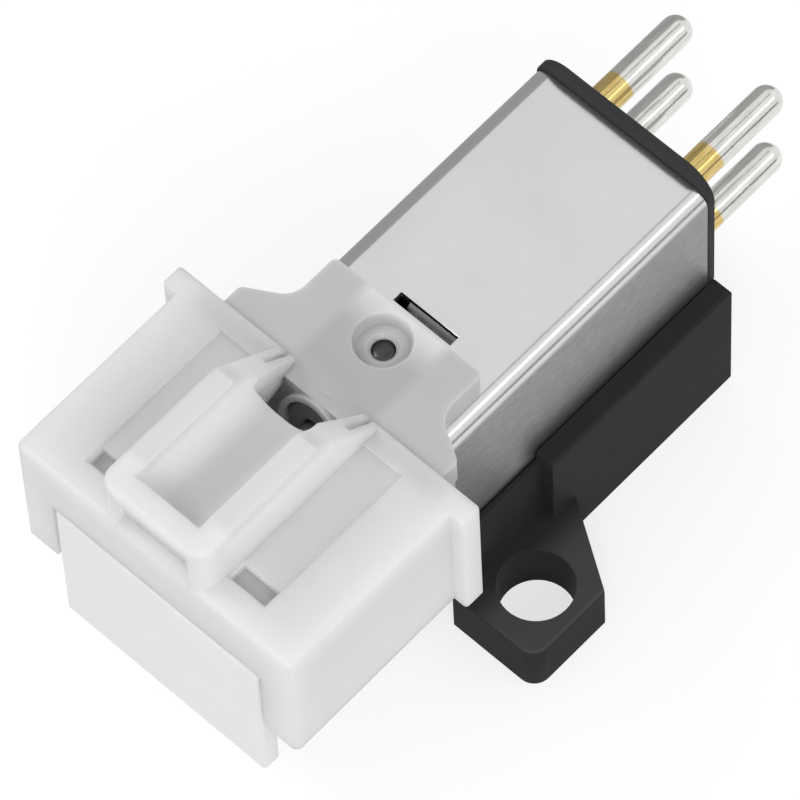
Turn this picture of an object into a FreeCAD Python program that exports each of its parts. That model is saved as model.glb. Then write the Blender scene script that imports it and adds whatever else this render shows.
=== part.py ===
"""Moving-magnet phono cartridge with a push-on stylus unit and guard, in millimetres.

The cartridge lies on its mounting face. The origin is on that face, midway between the two
screw holes. +Z points away from the tonearm, to the record side. +Y points back to the pins.
"""
import FreeCAD
import Part
import math
import os

Vector = FreeCAD.Vector

# Mounting face and ears
HOLE_PITCH = 12.7
HOLE_RADIUS = 1.45
EAR_THICKNESS = 2.45
EAR_MARGIN = 2.0
EAR_FRONT = 2.27
EAR_BACK = 1.45
EAR_TAPER = 2.15
EAR_CORNER = 0.7
EAR_EDGE = 0.15

# Tray of the mounting base
SIDE_WALL_THICKNESS = 0.22
SIDE_WALL_HEIGHT = 5.9
RAIL_THICKNESS = 0.82
RAIL_FRONT = 2.45
RAIL_HEIGHT = 6.4
BASE_FRONT = 1.4
FRONT_WALL_THICKNESS = 0.6
FRONT_WALL_HEIGHT = 4.1
SADDLE_THICKNESS = 0.5

# Shield can
CAN_WIDTH = 8.22
CAN_TOP = 12.6
CAN_FRONT = 2.45
CAN_REAR = 11.68
CAN_WALL = 0.4
CAN_EDGE = 0.75
SLOT_WIDTH = 2.72
SLOT_LENGTH = 0.42
SLOT_OFFSET = 1.42
TAB_RISE = 0.22
TAB_DROP = 0.18
TAB_THICKNESS = 0.2
TAB_OPEN = 0.42
MOUTH_NOTCH_WIDTH = 2.9
MOUTH_NOTCH_REAR = 0.1

# Terminal plate and pins
PLATE_THICKNESS = 0.32
PLATE_SIDE_LIP = 0.02
PLATE_TOP_LIP = 0.66
PLATE_CORNER = 1.3
PIN_RADIUS = 0.62
PIN_HALF_PITCH_X = 2.18
PIN_DROP = 2.18
PIN_PITCH_Z = 4.09
PIN_REACH = 5.55
PIN_NECK_RADIUS = 0.45
PIN_TAIL = 1.2
PIN_TAIL_RADIUS = 0.35

# Coils and magnetic circuit
COIL_HALF_PITCH = 1.66
COIL_DROP = 4.2
COIL_FRONT = 1.2
COIL_LENGTH = 5.6
FLANGE_WIDTH = 3.1
FLANGE_HEIGHT = 5.2
FLANGE_THICKNESS = 0.4
BOBBIN_WALL = 0.3
WINDING_INSET = 0.3
WINDING_CORNER = 1.0
CORE_WIDTH = 0.8
CORE_HEIGHT = 1.2
CORE_TAIL = 1.4
POLE_TIP_FRONT = 1.9
POLE_TIP_DROP = 1.2
YOKE_THICKNESS = 0.7
LEAD_RADIUS = 0.1

# Stylus holder
DECK_THICKNESS = 1.25
DECK_REAR = 0.6
DECK_WIDTH = 7.04
DECK_SIDE = 2.12
DECK_CORNER = 0.25
FLARE_RADIUS = 1.0
SHOULDER_WIDTH = 10.4
SHOULDER_CORNER = 0.3
BLOCK_DEPTH = 1.55
BLOCK_HEIGHT = 6.15
DISH_OFFSET = 0.72
DISH_RADIUS = 1.1
DISH_DEPTH = 0.55
DISH_FLOOR = 0.25
DISH_TAPER = 0.16
DISH_BORE = 0.45
DISH_BORE_BEVEL = 0.14
SHELF_DROP = 2.5
SHELF_THICKNESS = 0.8
LIP_WIDTH = 9.7
LIP_HEIGHT = 7.1
LIP_THICKNESS = 0.7
LIP_EDGE = 0.16
GUSSET_THICKNESS = 0.6
GUSSET_RUN = 2.4
GUSSET_INSET = 0.5
SKIRT_THICKNESS = 0.65
PRONG_WIDTH = 1.0
PRONG_LENGTH = 1.9
PRONG_HEIGHT = 4.6
BOSS_RADIUS = 1.42
BOSS_REACH = 1.0
COLLAR_RADIUS = 1.58
COLLAR_REACH = 0.45

# Needle assembly
PIVOT_Y = -3.65
PIVOT_DROP = 0.3
NEEDLE_ANGLE = 16.0
DAMPER_RADIUS = 1.12
DAMPER_FRONT = 0.9
DAMPER_REAR = 0.5
CANTILEVER_RADIUS = 0.28
CANTILEVER_WALL = 0.08
CANTILEVER_REACH = 5.8
CANTILEVER_FLAT = 0.9
CARRIER_RADIUS = 0.46
CARRIER_LENGTH = 1.75
MAGNET_WIDTH = 0.46
MAGNET_THICKNESS = 0.34
MAGNET_LENGTH = 1.4
MAGNET_SEAT = 0.36
MAGNET_TURN = 45.0
MAGNET_ROOM_RADIUS = 1.0
TIP_RADIUS = 0.13
TIP_SHANK = 0.3
TIP_CONE = 0.2
TIP_POINT = 0.016
TIP_INSET = 0.35

# Stylus guard
GUARD_WIDTH = 13.1
GUARD_FRONT = 12.4
GUARD_REAR = 3.45
GUARD_COVER = 0.35
GUARD_HEIGHT = 6.3
GUARD_APRON = 0.1
GUARD_WALL = 0.8
GUARD_ROOF = 0.7
GUARD_CORNER = 0.3
GUARD_EDGE = 0.2
CATCH_REACH = 0.65
CATCH_LENGTH = 0.9
CATCH_EDGE = 0.2
GRIP_RIB_LENGTH = 0.45
GRIP_RIB_HEIGHT = 4.6
PANEL_INNER = 2.45
PANEL_OUTER = 4.3
PANEL_FRONT = 11.25
PANEL_REAR = 4.35
PANEL_DEPTH = 0.12
POCKET_LENGTH = 0.75
POCKET_INSET = 0.1
POCKET_DEPTH = 0.5
TOWER_WIDTH = 4.9
TOWER_HEIGHT = 2.6
TOWER_REAR = 6.5
TOWER_CORNER = 0.7
TOWER_EDGE = 0.2
TROUGH_WIDTH = 3.0
TROUGH_DEPTH = 1.65
TROUGH_CORNER = 1.3
TROUGH_FRONT_WALL = 1.0
TUNNEL_WIDTH = 2.8
TUNNEL_ROOF = 0.4
WINDOW_FRONT = 5.8
WINDOW_NARROW = 2.6
WINDOW_WIDE = 3.3
SLIT_OFFSET = 1.85
SLIT_WIDTH = 0.26
SLIT_LENGTH = 1.15
FACE_RECESS_WIDTH = 3.6
FACE_RECESS_HEIGHT = 2.15
FACE_RECESS_MARGIN = 0.55
FACE_RECESS_DEPTH = 0.6

# Clearances, overrun of cuts, and limits for telling edges apart
SLIDE_GAP = 0.05
PIVOT_GAP = 0.06
GUARD_GAP = 0.15
BORE_GAP = 0.01
CUT = 1.0
SAME = 0.001
ALONG = 0.5

# Places that several pieces share
can_half = CAN_WIDTH / 2
can_inner = can_half - CAN_WALL
tray_half = can_half + SLIDE_GAP
rail_half = tray_half + RAIL_THICKNESS
plate_rear = CAN_REAR + PLATE_THICKNESS
hole_x = HOLE_PITCH / 2
pin_z_high = CAN_TOP - PIN_DROP
pin_z_low = pin_z_high - PIN_PITCH_Z
coil_z = CAN_TOP - COIL_DROP
coil_rear = COIL_FRONT + COIL_LENGTH
core_rear = coil_rear + CORE_TAIL
deck_bottom = CAN_TOP + SLIDE_GAP
deck_top = deck_bottom + DECK_THICKNESS
block_rear = -CAN_FRONT - SLIDE_GAP
block_front = block_rear - BLOCK_DEPTH
block_half = SHOULDER_WIDTH / 2
block_bottom = deck_bottom - BLOCK_HEIGHT
shelf_top = deck_top - SHELF_DROP
shelf_bottom = shelf_top - SHELF_THICKNESS
lip_bottom = shelf_top - LIP_HEIGHT
lip_half = LIP_WIDTH / 2
lip_front = -GUARD_FRONT - SLIDE_GAP
lip_rear = lip_front + LIP_THICKNESS
damper_bore = CANTILEVER_RADIUS + PIVOT_GAP
boss_bore = DAMPER_RADIUS + PIVOT_GAP
guard_top = deck_top + SLIDE_GAP + GUARD_COVER
guard_bottom = guard_top - GUARD_HEIGHT
tower_top = guard_top + TOWER_HEIGHT
trough_floor = tower_top - TROUGH_DEPTH
guard_half = GUARD_WIDTH / 2
guard_inner = guard_half - GUARD_WALL
needle_tilt = math.radians(NEEDLE_ANGLE)
needle_axis = Vector(0, -math.cos(needle_tilt), math.sin(needle_tilt))
needle_up = Vector(0, math.sin(needle_tilt), math.cos(needle_tilt))
pivot = Vector(0, PIVOT_Y, CAN_TOP - PIVOT_DROP)


def box(x_span, y_span, z_span):
    """Block between the two ends of each span."""
    size = [span[1] - span[0] for span in (x_span, y_span, z_span)]
    return Part.makeBox(*size, Vector(x_span[0], y_span[0], z_span[0]))


def both_sides(half, y_span, z_span):
    """Block that is symmetric about the middle plane."""
    return box((-half, half), y_span, z_span)


def prism_up(outline, z_span):
    """Closed outline of (x, y) points raised along Z."""
    points = [Vector(x, y, z_span[0]) for x, y in outline]
    face = Part.Face(Part.makePolygon(points + points[:1]))
    return face.extrude(Vector(0, 0, z_span[1] - z_span[0]))


def prism_across(outline, x_span):
    """Closed outline of (y, z) points drawn out along X."""
    points = [Vector(x_span[0], y, z) for y, z in outline]
    face = Part.Face(Part.makePolygon(points + points[:1]))
    return face.extrude(Vector(x_span[1] - x_span[0], 0, 0))


def mirrored(shape):
    """Copy on the other side of the middle plane."""
    return shape.mirror(Vector(0, 0, 0), Vector(1, 0, 0))


def joined(shapes):
    """One solid from pieces that share faces or overlap."""
    return shapes[0].multiFuse(shapes[1:]).removeSplitter()


def rounded(shape, radius, chosen):
    """Fillet the edges for which chosen(middle, direction) is true."""
    edges = []
    for edge in shape.Edges:
        if edge.Curve.TypeId != "Part::GeomLine":
            continue
        direction = edge.tangentAt(edge.FirstParameter)
        if chosen(edge.CenterOfMass, direction):
            edges.append(edge)
    return shape.makeFillet(radius, edges)


def near(value, target):
    """True where two lengths agree to a hair."""
    return abs(value - target) < SAME


def along_needle(distance):
    """Point on the needle's axis, measured forward from the pivot."""
    return pivot + needle_axis * distance


def needle_cylinder(radius, start, end):
    """Round bar on the needle's axis between two distances from the pivot."""
    return Part.makeCylinder(radius, end - start, along_needle(start), needle_axis)


def lying_bar(radius, x, z, y_span):
    """Round bar parallel to Y."""
    return Part.makeCylinder(radius, y_span[1] - y_span[0], Vector(x, y_span[0], z), Vector(0, 1, 0))


def make_ear():
    """Right screw ear: straight front, rounded outer corner and slanted rear edge."""
    outer = hole_x + EAR_MARGIN
    inner = hole_x - EAR_MARGIN
    taper_end = EAR_BACK + EAR_TAPER
    outline = [
        (inner, -EAR_FRONT),
        (outer, -EAR_FRONT),
        (outer, EAR_BACK),
        (rail_half, taper_end),
        (can_inner, taper_end),
        (can_inner, -BASE_FRONT),
        (inner, -BASE_FRONT),
    ]
    ear = prism_up(outline, (0, EAR_THICKNESS))
    corner = Vector(outer, -EAR_FRONT, EAR_THICKNESS / 2)
    ear = rounded(ear, EAR_CORNER, lambda c, d: near(c.distanceToPoint(corner), 0))
    ear = rounded(ear, EAR_EDGE, lambda c, d: near(c.z, EAR_THICKNESS) and near(c.y, -EAR_FRONT))
    hole = Part.makeCylinder(HOLE_RADIUS, EAR_THICKNESS + 2 * CUT, Vector(hole_x, 0, -CUT))
    return ear.cut(hole)


def make_mounting_base():
    """Tray that holds the can, with ears, rear rails, a front wall and two coil saddles."""
    floor = both_sides(tray_half, (-BASE_FRONT, plate_rear), (0, EAR_THICKNESS))
    thin_wall = box(
        (tray_half, tray_half + SIDE_WALL_THICKNESS), (-BASE_FRONT, RAIL_FRONT), (0, SIDE_WALL_HEIGHT)
    )
    rail = box((tray_half, rail_half), (RAIL_FRONT, plate_rear), (0, RAIL_HEIGHT))
    rail = rounded(rail, EAR_EDGE, lambda c, d: near(c.z, RAIL_HEIGHT) and c.x > tray_half + EAR_EDGE)
    right = [make_ear(), thin_wall, rail]
    front_wall = both_sides(
        can_inner - SLIDE_GAP, (-BASE_FRONT, FRONT_WALL_THICKNESS - BASE_FRONT), (0, FRONT_WALL_HEIGHT)
    )
    saddle_top = coil_z - FLANGE_HEIGHT / 2
    saddles = []
    for start in (COIL_FRONT, coil_rear - SADDLE_THICKNESS):
        y_span = (start, start + SADDLE_THICKNESS)
        saddles.append(both_sides(can_inner - SLIDE_GAP, y_span, (0, saddle_top)))
    left = [mirrored(piece) for piece in right]
    return joined([floor, front_wall] + right + left + saddles)


def make_shield_can():
    """Folded metal channel, open below and at both ends, with a lanced catch slot and a mouth notch."""
    y_span = (-CAN_FRONT, CAN_REAR)
    outer = both_sides(can_half, y_span, (EAR_THICKNESS, CAN_TOP))
    outer = rounded(outer, CAN_EDGE, lambda c, d: near(c.z, CAN_TOP) and abs(d.y) > ALONG)
    inner_top = CAN_TOP - CAN_WALL
    inner = both_sides(can_inner, (y_span[0] - CUT, y_span[1] + CUT), (EAR_THICKNESS - CUT, inner_top))
    inner = rounded(inner, CAN_EDGE - CAN_WALL, lambda c, d: near(c.z, inner_top) and abs(d.y) > ALONG)
    through = (inner_top - CUT, CAN_TOP + CUT)
    slot_span = (SLOT_OFFSET - SLOT_LENGTH / 2, SLOT_OFFSET + SLOT_LENGTH / 2)
    slot = both_sides(SLOT_WIDTH / 2, slot_span, through)
    notch = both_sides(MOUTH_NOTCH_WIDTH / 2, (y_span[0] - CUT, MOUTH_NOTCH_REAR), through)
    tab_outline = [
        (slot_span[1], inner_top),
        (slot_span[1], inner_top + TAB_RISE),
        (slot_span[0], inner_top - TAB_DROP),
        (slot_span[0], inner_top - TAB_DROP - TAB_THICKNESS),
    ]
    tab = prism_across(tab_outline, (TAB_OPEN - SLOT_WIDTH / 2, SLOT_WIDTH / 2))
    return joined([outer.cut([inner, slot, notch]), tab])


def pin_places():
    """Name, x and z of each terminal pin."""
    for side, sign in (("left", -1), ("right", 1)):
        yield side + "_signal", sign * PIN_HALF_PITCH_X, pin_z_high
        yield side + "_return", sign * PIN_HALF_PITCH_X, pin_z_low


def make_terminal_plate():
    """Plate behind the can: a rounded head proud of the can and a tongue between the rails."""
    y_span = (CAN_REAR, plate_rear)
    head_half = can_half + PLATE_SIDE_LIP
    head_top = CAN_TOP + PLATE_TOP_LIP
    head = both_sides(head_half, y_span, (RAIL_HEIGHT, head_top))
    head = rounded(head, PLATE_CORNER, lambda c, d: near(c.z, head_top) and near(abs(c.x), head_half))
    tongue = both_sides(can_half, y_span, (EAR_THICKNESS, RAIL_HEIGHT))
    bores = []
    for _, x, z in pin_places():
        bores.append(lying_bar(PIN_NECK_RADIUS + BORE_GAP, x, z, (CAN_REAR - CUT, plate_rear + CUT)))
    return joined([head, tongue]).cut(bores)


def make_terminal_pin(x, z):
    """Turned pin: solder tail, neck through the plate, shoulder on its rear face and a domed end."""
    dome = plate_rear + PIN_REACH - PIN_RADIUS
    outline = [
        (0, CAN_REAR - PIN_TAIL),
        (PIN_TAIL_RADIUS, CAN_REAR - PIN_TAIL),
        (PIN_TAIL_RADIUS, CAN_REAR),
        (PIN_NECK_RADIUS, CAN_REAR),
        (PIN_NECK_RADIUS, plate_rear),
        (PIN_RADIUS, plate_rear),
        (PIN_RADIUS, dome),
    ]
    points = [Vector(x + r, y, z) for r, y in outline]
    edges = [Part.makeLine(a, b) for a, b in zip(points, points[1:])]
    middle = PIN_RADIUS * math.sqrt(0.5)
    end = Vector(x, dome + PIN_RADIUS, z)
    edges.append(Part.Arc(points[-1], Vector(x + middle, dome + middle, z), end).toShape())
    edges.append(Part.makeLine(end, points[0]))
    face = Part.Face(Part.Wire(edges))
    return face.revolve(Vector(x, 0, z), Vector(0, 1, 0), 360)


def make_pole_core():
    """Right pole core: a bar through the bobbin that climbs to a tip beside the magnet."""
    low = coil_z - CORE_HEIGHT / 2
    high = coil_z + CORE_HEIGHT / 2
    tip_low = pivot.z - POLE_TIP_DROP - CORE_HEIGHT / 2
    tip_high = tip_low + CORE_HEIGHT
    bend = COIL_FRONT - CORE_HEIGHT / 2
    outline = [
        (core_rear, low),
        (core_rear, high),
        (bend, high),
        (-POLE_TIP_FRONT + CORE_HEIGHT / 2, tip_high),
        (-POLE_TIP_FRONT, tip_high),
        (-POLE_TIP_FRONT, tip_low),
        (bend, low),
    ]
    inner = COIL_HALF_PITCH - CORE_WIDTH / 2
    return prism_across(outline, (inner, inner + CORE_WIDTH))


def make_rear_yoke():
    """Bar that joins the rear ends of both pole cores."""
    half = COIL_HALF_PITCH + CORE_WIDTH / 2
    z_span = (coil_z - CORE_HEIGHT / 2, coil_z + CORE_HEIGHT / 2)
    return both_sides(half, (core_rear, core_rear + YOKE_THICKNESS), z_span)


def coil_block(width, height, y_span):
    """Right-hand block centred on the coil's axis."""
    x_span = (COIL_HALF_PITCH - width / 2, COIL_HALF_PITCH + width / 2)
    return box(x_span, y_span, (coil_z - height / 2, coil_z + height / 2))


def make_coil_bobbin():
    """Right bobbin: a square tube on the core with a flange at each end."""
    front = (COIL_FRONT, COIL_FRONT + FLANGE_THICKNESS)
    rear = (coil_rear - FLANGE_THICKNESS, coil_rear)
    whole = (COIL_FRONT, coil_rear)
    tube = coil_block(CORE_WIDTH + 2 * BOBBIN_WALL, CORE_HEIGHT + 2 * BOBBIN_WALL, whole)
    flanges = [coil_block(FLANGE_WIDTH, FLANGE_HEIGHT, span) for span in (front, rear)]
    bore = coil_block(CORE_WIDTH, CORE_HEIGHT, (COIL_FRONT - CUT, coil_rear + CUT))
    return joined([tube] + flanges).cut(bore)


def make_coil_winding():
    """Right winding: the wire's outer form between the bobbin's flanges."""
    y_span = (COIL_FRONT + FLANGE_THICKNESS, coil_rear - FLANGE_THICKNESS)
    width = FLANGE_WIDTH - 2 * WINDING_INSET
    height = FLANGE_HEIGHT - 2 * WINDING_INSET
    body = rounded(coil_block(width, height, y_span), WINDING_CORNER, lambda c, d: abs(d.y) > ALONG)
    bore_span = (COIL_FRONT, coil_rear)
    return body.cut(coil_block(CORE_WIDTH + 2 * BOBBIN_WALL, CORE_HEIGHT + 2 * BOBBIN_WALL, bore_span))


def make_coil_lead(x, z):
    """Straight lead from the bobbin's rear flange to a pin's tail."""
    return lying_bar(LEAD_RADIUS, x, z, (coil_rear, CAN_REAR - PIN_TAIL))


def make_deck_form():
    """Deck over the can with a square rear, flared sides and rounded shoulders."""
    deck_half = DECK_WIDTH / 2
    flare_y = DECK_REAR - DECK_SIDE
    right = [
        (deck_half, DECK_REAR),
        (deck_half, flare_y),
        (block_half, block_rear),
        (block_half, block_front),
    ]
    left = [(-x, y) for x, y in reversed(right)]
    deck = prism_up(right + left, (deck_bottom, deck_top))
    deck = rounded(deck, DECK_CORNER, lambda c, d: near(c.y, DECK_REAR) and abs(d.z) > ALONG)
    deck = rounded(deck, FLARE_RADIUS, lambda c, d: near(c.y, flare_y) and abs(d.z) > ALONG)
    return rounded(deck, SHOULDER_CORNER, lambda c, d: near(c.y, block_rear) and abs(d.z) > ALONG)


def make_holder_deck():
    """Deck with its dished hole, relieved from below so that the dish has a thin floor."""
    centre = Vector(0, -DISH_OFFSET, deck_top - DISH_DEPTH)
    dish = Part.makeCone(DISH_RADIUS - DISH_TAPER, DISH_RADIUS, DISH_DEPTH, centre)
    bore = Part.makeCylinder(DISH_BORE, 2 * deck_top, Vector(0, -DISH_OFFSET, 0))
    bevel_foot = centre - Vector(0, 0, DISH_BORE_BEVEL)
    bevel = Part.makeCone(DISH_BORE, DISH_BORE + DISH_BORE_BEVEL, DISH_BORE_BEVEL, bevel_foot)
    relief_height = centre.z - DISH_FLOOR - deck_bottom
    relief = Part.makeCylinder(DISH_RADIUS, relief_height, Vector(0, -DISH_OFFSET, deck_bottom))
    return make_deck_form().cut([dish, bore, bevel, relief])


def make_grip():
    """Shelf under the needle with the front grip lip and its gussets."""
    shelf = both_sides(lip_half, (lip_front, block_rear), (shelf_bottom, shelf_top))
    lip = both_sides(lip_half, (lip_front, lip_rear), (lip_bottom, shelf_top))
    grip = joined([shelf, lip])
    grip = rounded(grip, LIP_EDGE, lambda c, d: near(c.y, lip_front) and not near(c.z, lip_bottom))
    gusset_outer = lip_half - GUSSET_INSET
    outline = [
        (lip_rear, shelf_bottom),
        (lip_rear, shelf_bottom - GUSSET_RUN),
        (lip_rear + GUSSET_RUN, shelf_bottom),
    ]
    gusset = prism_across(outline, (gusset_outer - GUSSET_THICKNESS, gusset_outer))
    return [grip, gusset, mirrored(gusset)]


def make_stylus_holder():
    """Moulded holder: deck, shoulder block with the needle boss, skirt, prongs and grip."""
    block = both_sides(block_half, (block_front, block_rear), (block_bottom, deck_bottom))
    block = rounded(block, SHOULDER_CORNER, lambda c, d: near(c.y, block_rear) and abs(d.z) > ALONG)
    skirt_half = can_inner - SLIDE_GAP
    skirt_y = (block_rear - SKIRT_THICKNESS, block_rear)
    skirt = both_sides(skirt_half, skirt_y, (lip_bottom, block_bottom))
    prong = box(
        (skirt_half - PRONG_WIDTH, skirt_half),
        (block_rear, block_rear + PRONG_LENGTH),
        (block_bottom, block_bottom + PRONG_HEIGHT),
    )
    boss = needle_cylinder(BOSS_RADIUS, -DAMPER_REAR, BOSS_REACH)
    collar = needle_cylinder(COLLAR_RADIUS, -DAMPER_REAR, COLLAR_REACH)
    body = joined([make_holder_deck(), block, skirt, prong, mirrored(prong), boss, collar] + make_grip())
    seat = needle_cylinder(boss_bore, -DAMPER_REAR - 2 * PIVOT_GAP, BOSS_REACH + CUT)
    room_end = CARRIER_LENGTH + DAMPER_REAR + CUT
    room = needle_cylinder(MAGNET_ROOM_RADIUS, -room_end, 0)
    return body.cut([seat, room])


def make_damper_ring():
    """Rubber ring in the boss that carries the cantilever."""
    ring = needle_cylinder(DAMPER_RADIUS, -DAMPER_REAR, DAMPER_FRONT)
    return ring.cut(needle_cylinder(damper_bore, -DAMPER_REAR - CUT, DAMPER_FRONT + CUT))


def make_cantilever():
    """Drawn tube, flattened on the record side where the tip is set."""
    rear = -DAMPER_REAR - PIVOT_GAP
    tube = needle_cylinder(CANTILEVER_RADIUS, rear, CANTILEVER_REACH)
    bore_end = CANTILEVER_REACH - CANTILEVER_FLAT - 2 * CANTILEVER_WALL
    tube = tube.cut(needle_cylinder(CANTILEVER_RADIUS - CANTILEVER_WALL, rear - CUT, bore_end))
    flat_length = CANTILEVER_FLAT + CUT
    cutter = Part.makeBox(4 * CANTILEVER_RADIUS, CANTILEVER_RADIUS, flat_length)
    cutter.translate(Vector(-2 * CANTILEVER_RADIUS, CANTILEVER_WALL, CANTILEVER_REACH - CANTILEVER_FLAT))
    return tube.cut(on_needle(cutter))


def on_needle(shape):
    """Set a shape drawn about the origin, Z forward and Y to the record side, on the needle's axis."""
    frame = FreeCAD.Matrix(
        1, 0, 0, pivot.x,
        0, needle_up.y, needle_axis.y, pivot.y,
        0, needle_up.z, needle_axis.z, pivot.z,
    )
    placed = shape.copy()
    placed.Placement = FreeCAD.Placement(frame).multiply(shape.Placement)
    return placed


def make_stylus_tip():
    """Diamond: a round shank on the cantilever's flat with a cone ground on its end."""
    foot = along_needle(CANTILEVER_REACH - TIP_INSET) + needle_up * CANTILEVER_WALL
    shank = Part.makeCylinder(TIP_RADIUS, TIP_SHANK, foot, needle_up)
    cone = Part.makeCone(TIP_RADIUS, TIP_POINT, TIP_CONE, foot + needle_up * TIP_SHANK, needle_up)
    return joined([shank, cone])


def magnet_block(sign, inner, outer, start, end, width):
    """Block beside the needle's axis, turned to one side of the direction to the tonearm."""
    block = Part.makeBox(width, outer - inner, end - start)
    block.translate(Vector(-width / 2, inner, start))
    block.rotate(Vector(0, 0, 0), Vector(0, 0, 1), 180 + sign * MAGNET_TURN)
    return on_needle(block)


def make_magnet_carrier():
    """Round plug behind the damper with two flats, a quarter turn apart, for the magnets."""
    front = -DAMPER_REAR - PIVOT_GAP
    carrier = needle_cylinder(CARRIER_RADIUS, front - CARRIER_LENGTH, front)
    flats = []
    for sign in (-1, 1):
        cut_span = (front - CARRIER_LENGTH - CUT, front - (CARRIER_LENGTH - MAGNET_LENGTH))
        flats.append(magnet_block(sign, MAGNET_SEAT, 2 * CARRIER_RADIUS, *cut_span, 2 * CARRIER_RADIUS))
    return carrier.cut(flats)


def make_magnet(sign):
    """Bar magnet seated on one flat of the carrier."""
    rear = -DAMPER_REAR - PIVOT_GAP - CARRIER_LENGTH
    outer = MAGNET_SEAT + MAGNET_THICKNESS
    return magnet_block(sign, MAGNET_SEAT, outer, rear, rear + MAGNET_LENGTH, MAGNET_WIDTH)


def make_guard_body():
    """Outer form of the guard: low box, finger catches at the rear and the raised box."""
    side_outline = [
        (-GUARD_FRONT, guard_bottom - GUARD_APRON),
        (-GUARD_FRONT, guard_top),
        (-GUARD_REAR, guard_top),
        (-GUARD_REAR, guard_bottom),
    ]
    body = prism_across(side_outline, (-guard_half, guard_half))
    body = rounded(body, GUARD_CORNER, lambda c, d: near(c.y, -GUARD_FRONT) and abs(d.z) > ALONG)
    body = rounded(body, GUARD_EDGE, lambda c, d: near(c.z, guard_top) and near(abs(c.x), guard_half))
    catch = box(
        (guard_inner, guard_half + CATCH_REACH),
        (-GUARD_REAR - CATCH_LENGTH, -GUARD_REAR),
        (guard_bottom, guard_top),
    )
    catch = rounded(catch, CATCH_EDGE, lambda c, d: near(c.x, guard_half + CATCH_REACH))
    tower_outline = [
        (-GUARD_FRONT, guard_top - GUARD_ROOF),
        (-GUARD_FRONT, tower_top),
        (-TOWER_REAR, tower_top),
        (-GUARD_REAR, guard_top),
        (-GUARD_REAR, guard_top - GUARD_ROOF),
    ]
    tower_half = TOWER_WIDTH / 2
    tower = prism_across(tower_outline, (-tower_half, tower_half))
    tower = rounded(tower, TOWER_CORNER, lambda c, d: near(c.y, -GUARD_FRONT) and abs(d.z) > ALONG)
    tower = rounded(tower, TOWER_EDGE, lambda c, d: c.z > guard_top and near(abs(c.x), tower_half))
    return joined([body, catch, mirrored(catch), tower])


def make_guard_cavities():
    """Spaces inside the guard: room for the grip, the block and the needle, and the lip's notch."""
    roof_under = guard_top - GUARD_ROOF
    behind = -GUARD_REAR + CUT
    inside = both_sides(guard_inner, (-GUARD_FRONT + GUARD_WALL, behind), (lip_bottom, roof_under))
    over_block = both_sides(
        guard_inner, (block_front - GUARD_GAP, behind), (guard_bottom, deck_top + SLIDE_GAP)
    )
    tunnel_top = trough_floor - TUNNEL_ROOF
    tunnel = both_sides(
        TUNNEL_WIDTH / 2, (-GUARD_FRONT + TROUGH_FRONT_WALL, behind), (roof_under - CUT, tunnel_top)
    )
    notch = both_sides(
        lip_half + GUARD_GAP,
        (-GUARD_FRONT - CUT, -GUARD_FRONT + GUARD_WALL + CUT),
        (lip_bottom, shelf_top + GUARD_GAP),
    )
    return [inside, over_block, tunnel, notch]


def make_guard_openings():
    """Cuts in the guard's top: trough, rear window, side slits, panels, pockets and front recess."""
    above = tower_top + CUT
    below = guard_top - GUARD_ROOF - CUT
    behind = -GUARD_REAR + CUT
    trough = both_sides(
        TROUGH_WIDTH / 2, (-GUARD_FRONT + TROUGH_FRONT_WALL, behind), (trough_floor, above + CUT)
    )
    trough = rounded(trough, TROUGH_CORNER, lambda c, d: near(c.z, trough_floor) and abs(d.y) > ALONG)
    spread = (WINDOW_WIDE - WINDOW_NARROW) / 2 / (WINDOW_FRONT - GUARD_REAR)
    window_end = WINDOW_WIDE / 2 + spread * CUT
    window = prism_up(
        [
            (-WINDOW_NARROW / 2, -WINDOW_FRONT),
            (WINDOW_NARROW / 2, -WINDOW_FRONT),
            (window_end, behind),
            (-window_end, behind),
        ],
        (below, above),
    )
    recess_top = tower_top - FACE_RECESS_MARGIN
    recess = both_sides(
        FACE_RECESS_WIDTH / 2,
        (-GUARD_FRONT - CUT, -GUARD_FRONT + FACE_RECESS_DEPTH),
        (recess_top - FACE_RECESS_HEIGHT, recess_top),
    )
    slit_x = (SLIT_OFFSET, SLIT_OFFSET + SLIT_WIDTH)
    slit = box(slit_x, (-GUARD_REAR - SLIT_LENGTH, behind), (below, above))
    panel_z = (guard_top - PANEL_DEPTH, guard_top + CUT)
    panel = box((PANEL_INNER, PANEL_OUTER), (-PANEL_FRONT, -PANEL_REAR), panel_z)
    pocket_x = (PANEL_INNER + POCKET_INSET, PANEL_OUTER - POCKET_INSET)
    pocket_front = -PANEL_FRONT + POCKET_INSET
    pocket = box(pocket_x, (pocket_front, pocket_front + POCKET_LENGTH), (guard_top - POCKET_DEPTH, above))
    right = [slit, panel, pocket]
    return [trough, window, recess] + right + [mirrored(piece) for piece in right]


def make_stylus_guard():
    """Push-on guard with ribs inside its walls that grip the shoulder block."""
    shell = make_guard_body().cut(make_guard_cavities() + make_guard_openings())
    rib_start = -GUARD_REAR - GRIP_RIB_LENGTH
    rib_low = guard_bottom + GUARD_WALL
    rib = box(
        (block_half + SLIDE_GAP, guard_inner + GUARD_WALL / 2),
        (rib_start, -GUARD_REAR),
        (rib_low, rib_low + GRIP_RIB_HEIGHT),
    )
    return joined([shell, rib, mirrored(rib)])


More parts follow.
